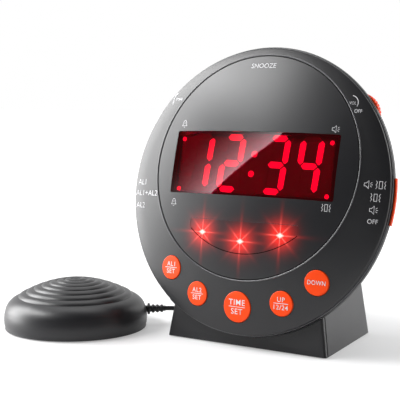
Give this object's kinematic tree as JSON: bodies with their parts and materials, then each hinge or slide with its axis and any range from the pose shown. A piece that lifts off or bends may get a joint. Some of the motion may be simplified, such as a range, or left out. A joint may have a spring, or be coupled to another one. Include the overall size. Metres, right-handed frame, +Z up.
{
  "type": "bed shaker alarm clock",
  "caption": "Round domed alarm clock on a hollow stand, with a red digit display, push buttons, rim wheels and sliders, a snooze bar and a ridged shaker puck on a coiled lead.",
  "frame": {"origin": "on the table, under the middle of the stand", "axes": "+X to the right of the clock seen from its front, +Y to its back, +Z up"},
  "size_m": [0.2182, 0.1675, 0.1529],
  "materials": {
    "case_plastic": "satin",
    "panel_plastic": "satin",
    "dark_red_window": "clear, tinted dark red",
    "alert_red": "clear, tinted dark red",
    "display_block": "matt",
    "lit_red": "glowing",
    "unlit_red": "matt",
    "control_orange": "satin",
    "snooze_plastic": "satin",
    "circuit_green": "satin",
    "component_black": "matt",
    "header_black": "matt",
    "capacitor_blue": "gloss",
    "screw_steel": "satin",
    "basket_steel": "satin",
    "cone_paper": "matt",
    "magnet_iron": "matt",
    "foot_rubber": "matt",
    "jack_plastic": "satin",
    "cell_sleeve": "satin, unprinted",
    "contact_steel": "bright",
    "shaker_plastic": "satin",
    "motor_steel": "satin",
    "bracket_plastic": "satin",
    "weight_brass": "satin",
    "cord_rubber": "satin",
    "plug_rubber": "satin"
  },
  "bodies": {
    "clock": {"front_cover": "case_plastic", "face_panel": "panel_plastic", "display_window": "dark_red_window", "alert_lens": "alert_red", "display_module": "display_block", "segments_lit": "lit_red", "segments_dark": "unlit_red", "alert_lamps": "lit_red", "display_board": "circuit_green", "button_board": "circuit_green", "push_switches": "component_black", "board_screws": "screw_steel", "main_board": "circuit_green", "board_headers": "header_black", "controller_chips": "component_black", "capacitors": "capacitor_blue", "volume_control": "component_black", "tone_control": "component_black", "alarm_mode_switch": "component_black", "alarm_select_switch": "component_black", "snooze_switch": "component_black", "base_cover": "case_plastic", "rubber_feet": "foot_rubber", "base_screws": "screw_steel", "case_screws": "screw_steel", "rear_cover": "case_plastic", "speaker_frame": "basket_steel", "speaker_cone": "cone_paper", "speaker_magnet": "magnet_iron", "speaker_screws": "screw_steel", "jack_board": "circuit_green", "power_jack": "jack_plastic", "shaker_jack": "jack_plastic", "dimmer_switch": "component_black", "batteries": "cell_sleeve", "battery_contacts": "contact_steel", "shaker_cap": "shaker_plastic", "shaker_base": "shaker_plastic", "shaker_pads": "foot_rubber", "shaker_screws": "screw_steel", "shaker_motor": "motor_steel", "motor_bracket": "bracket_plastic", "shaker_strain_relief": "cord_rubber", "shaker_cord_lead": "cord_rubber", "shaker_cord_coil": "cord_rubber", "shaker_cord_end": "cord_rubber", "shaker_plug": "plug_rubber"},
    "button_al1_body": {"button_al1": "control_orange"},
    "button_al2_body": {"button_al2": "control_orange"},
    "button_time_body": {"button_time": "control_orange"},
    "button_up_body": {"button_up": "control_orange"},
    "button_down_body": {"button_down": "control_orange"},
    "snooze_bar_body": {"snooze_bar": "snooze_plastic"},
    "volume_wheel_body": {"volume_wheel": "control_orange"},
    "tone_wheel_body": {"tone_wheel": "control_orange"},
    "alarm_mode_knob_body": {"alarm_mode_knob": "control_orange"},
    "alarm_select_knob_body": {"alarm_select_knob": "control_orange"},
    "dimmer_slider_body": {"dimmer_slider": "control_orange"},
    "battery_door_body": {"battery_door": "case_plastic"},
    "shaker_weight_body": {"shaker_weight": "weight_brass"}
  },
  "joints": [
    {"name": "button_al1_press", "type": "slide", "parent": "clock", "child": "button_al1_body", "axis": [0, 0.9759, -0.2181], "range_m": [0, 0.0009], "stiffness_N_per_m": 900, "springref_m": -0.0002},
    {"name": "button_al2_press", "type": "slide", "parent": "clock", "child": "button_al2_body", "axis": [0, 0.9759, -0.2181], "range_m": [0, 0.0009], "stiffness_N_per_m": 900, "springref_m": -0.0002},
    {"name": "button_time_press", "type": "slide", "parent": "clock", "child": "button_time_body", "axis": [0, 0.9759, -0.2181], "range_m": [0, 0.0009], "stiffness_N_per_m": 900, "springref_m": -0.0002},
    {"name": "button_up_press", "type": "slide", "parent": "clock", "child": "button_up_body", "axis": [0, 0.9759, -0.2181], "range_m": [0, 0.0009], "stiffness_N_per_m": 900, "springref_m": -0.0002},
    {"name": "button_down_press", "type": "slide", "parent": "clock", "child": "button_down_body", "axis": [0, 0.9759, -0.2181], "range_m": [0, 0.0009], "stiffness_N_per_m": 900, "springref_m": -0.0002},
    {"name": "snooze_press", "type": "slide", "parent": "clock", "child": "snooze_bar_body", "axis": [0, -0.2181, -0.9759], "range_m": [0, 0.0012], "stiffness_N_per_m": 600, "springref_m": -0.0004},
    {"name": "volume_turn", "type": "hinge", "parent": "clock", "child": "volume_wheel_body", "pos_m": [0.05017, -0.00709, 0.11777], "axis": [0, -0.9759, 0.2181], "range_deg": [-150, 150]},
    {"name": "tone_turn", "type": "hinge", "parent": "clock", "child": "tone_wheel_body", "pos_m": [-0.05017, -0.00709, 0.11777], "axis": [0, -0.9759, 0.2181], "range_deg": [-150, 150]},
    {"name": "alarm_mode_slide", "type": "hinge", "parent": "clock", "child": "alarm_mode_knob_body", "pos_m": [0, -0.02185, 0.08018], "axis": [0, -0.9759, 0.2181], "range_deg": [-9.6, 5.1]},
    {"name": "alarm_select_slide", "type": "hinge", "parent": "clock", "child": "alarm_select_knob_body", "pos_m": [0, -0.02185, 0.08018], "axis": [0, -0.9759, 0.2181], "range_deg": [-4.8, 4.8]},
    {"name": "dimmer_slide", "type": "slide", "parent": "clock", "child": "dimmer_slider_body", "axis": [1, 0, 0], "range_m": [0, 0.004]},
    {"name": "battery_door_swing", "type": "hinge", "parent": "clock", "child": "battery_door_body", "pos_m": [0, 0.0307, 0.02246], "axis": [-1, 0, 0], "range_deg": [0, 100]},
    {"name": "shaker_weight_spin", "type": "hinge", "parent": "clock", "child": "shaker_weight_body", "pos_m": [-0.0838, -0.0404, 0.0125], "axis": [1, 0, 0], "continuous": true}
  ]
}
